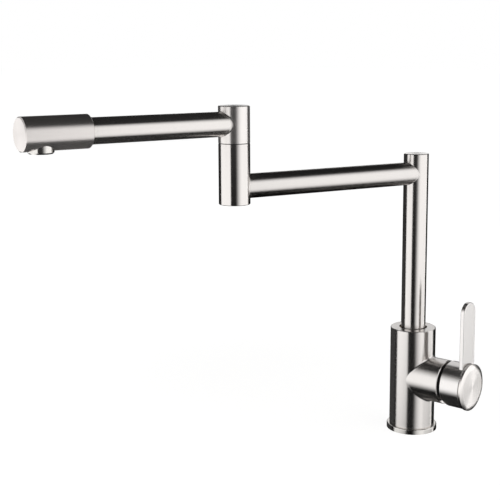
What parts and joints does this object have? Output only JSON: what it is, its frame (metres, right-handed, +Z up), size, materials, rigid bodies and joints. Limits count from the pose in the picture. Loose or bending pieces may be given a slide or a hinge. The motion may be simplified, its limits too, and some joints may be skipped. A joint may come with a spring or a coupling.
{
  "type": "folding-spout mixer tap",
  "caption": "Deck-mounted single-lever mixer tap with a tall upright and a double-jointed folding swing spout that ends in an aerated outlet head, in brushed stainless steel.",
  "frame": {"origin": "centre of the base ring's underside, on the deck", "axes": "+Z up; +X along the valve axis towards the lever handle; -Y towards the user, the spout being stored 21 degrees from -Y towards -X"},
  "size_m": [0.2089, 0.4097, 0.333],
  "materials": {
    "brushed_stainless": "fine brushed stainless steel, grain running round the tubes",
    "polished_stainless": "polished",
    "brass": "turned, satin",
    "plain_steel": "turned, satin",
    "black_rubber": "moulded, matt",
    "dark_acetal": "moulded, matt",
    "grey_acetal": "moulded, matt",
    "alumina": "lapped"
  },
  "bodies": {
    "mixer_body": {"base_ring": "polished_stainless", "base_gasket": "black_rubber", "body_casting": "brushed_stainless", "swivel_retaining_screw": "plain_steel", "port_seals": "black_rubber", "cartridge_base": "grey_acetal", "fixed_disc": "alumina", "cartridge_housing": "grey_acetal", "cartridge_nut": "brass", "trim_ring": "dark_acetal"},
    "lower_arm": {"swivel_spigot": "brass", "swivel_glide_rings": "dark_acetal", "swivel_o_rings": "black_rubber", "upright_tube": "brushed_stainless", "upright_cap": "brushed_stainless", "lower_arm_tube": "brushed_stainless", "elbow_lower_housing": "brushed_stainless", "elbow_bottom_cap": "brushed_stainless", "elbow_sleeve": "brass", "elbow_glide_washer": "dark_acetal"},
    "upper_arm": {"elbow_upper_housing": "brushed_stainless", "elbow_top_cap": "brushed_stainless", "elbow_spigot": "brass", "elbow_o_rings": "black_rubber", "elbow_circlip": "plain_steel", "upper_arm_tube": "brushed_stainless", "outlet_head": "brushed_stainless", "head_end_cap": "brushed_stainless", "outlet_neck": "polished_stainless", "aerator_insert": "grey_acetal", "aerator_mesh": "plain_steel", "aerator_washer": "black_rubber"},
    "cartridge_collar": {"valve_collar": "grey_acetal", "collar_o_ring": "black_rubber", "stem_pin": "plain_steel"},
    "handle": {"valve_stem": "plain_steel", "handle_lever": "brushed_stainless", "handle_cap": "brushed_stainless", "handle_set_screw": "plain_steel"},
    "disc_slider": {"disc_carrier": "grey_acetal", "moving_disc": "alumina"}
  },
  "joints": [
    {"name": "spout_swivel", "type": "hinge", "parent": "mixer_body", "child": "lower_arm", "pos_m": [0, 0, 0.1], "axis": [0, 0, 1], "continuous": true},
    {"name": "elbow_swivel", "type": "hinge", "parent": "lower_arm", "child": "upper_arm", "pos_m": [-0.07191, -0.1893, 0.3], "axis": [0, 0, 1], "continuous": true},
    {"name": "temperature_turn", "type": "hinge", "parent": "mixer_body", "child": "cartridge_collar", "pos_m": [0.03305, 0, 0.055], "axis": [1, 0, 0], "range_deg": [-45, 45]},
    {"name": "flow_tilt", "type": "hinge", "parent": "cartridge_collar", "child": "handle", "pos_m": [0.03305, 0, 0.055], "axis": [0, 1, 0], "range_deg": [0, 18]},
    {"name": "disc_slide", "type": "slide", "parent": "cartridge_collar", "child": "disc_slider", "axis": [0, 0, 1], "range_m": [0, 0.0024]}
  ],
  "couplings": [
    {"joint": "disc_slide", "follows": "flow_tilt", "m_per_rad": 0.0075}
  ]
}
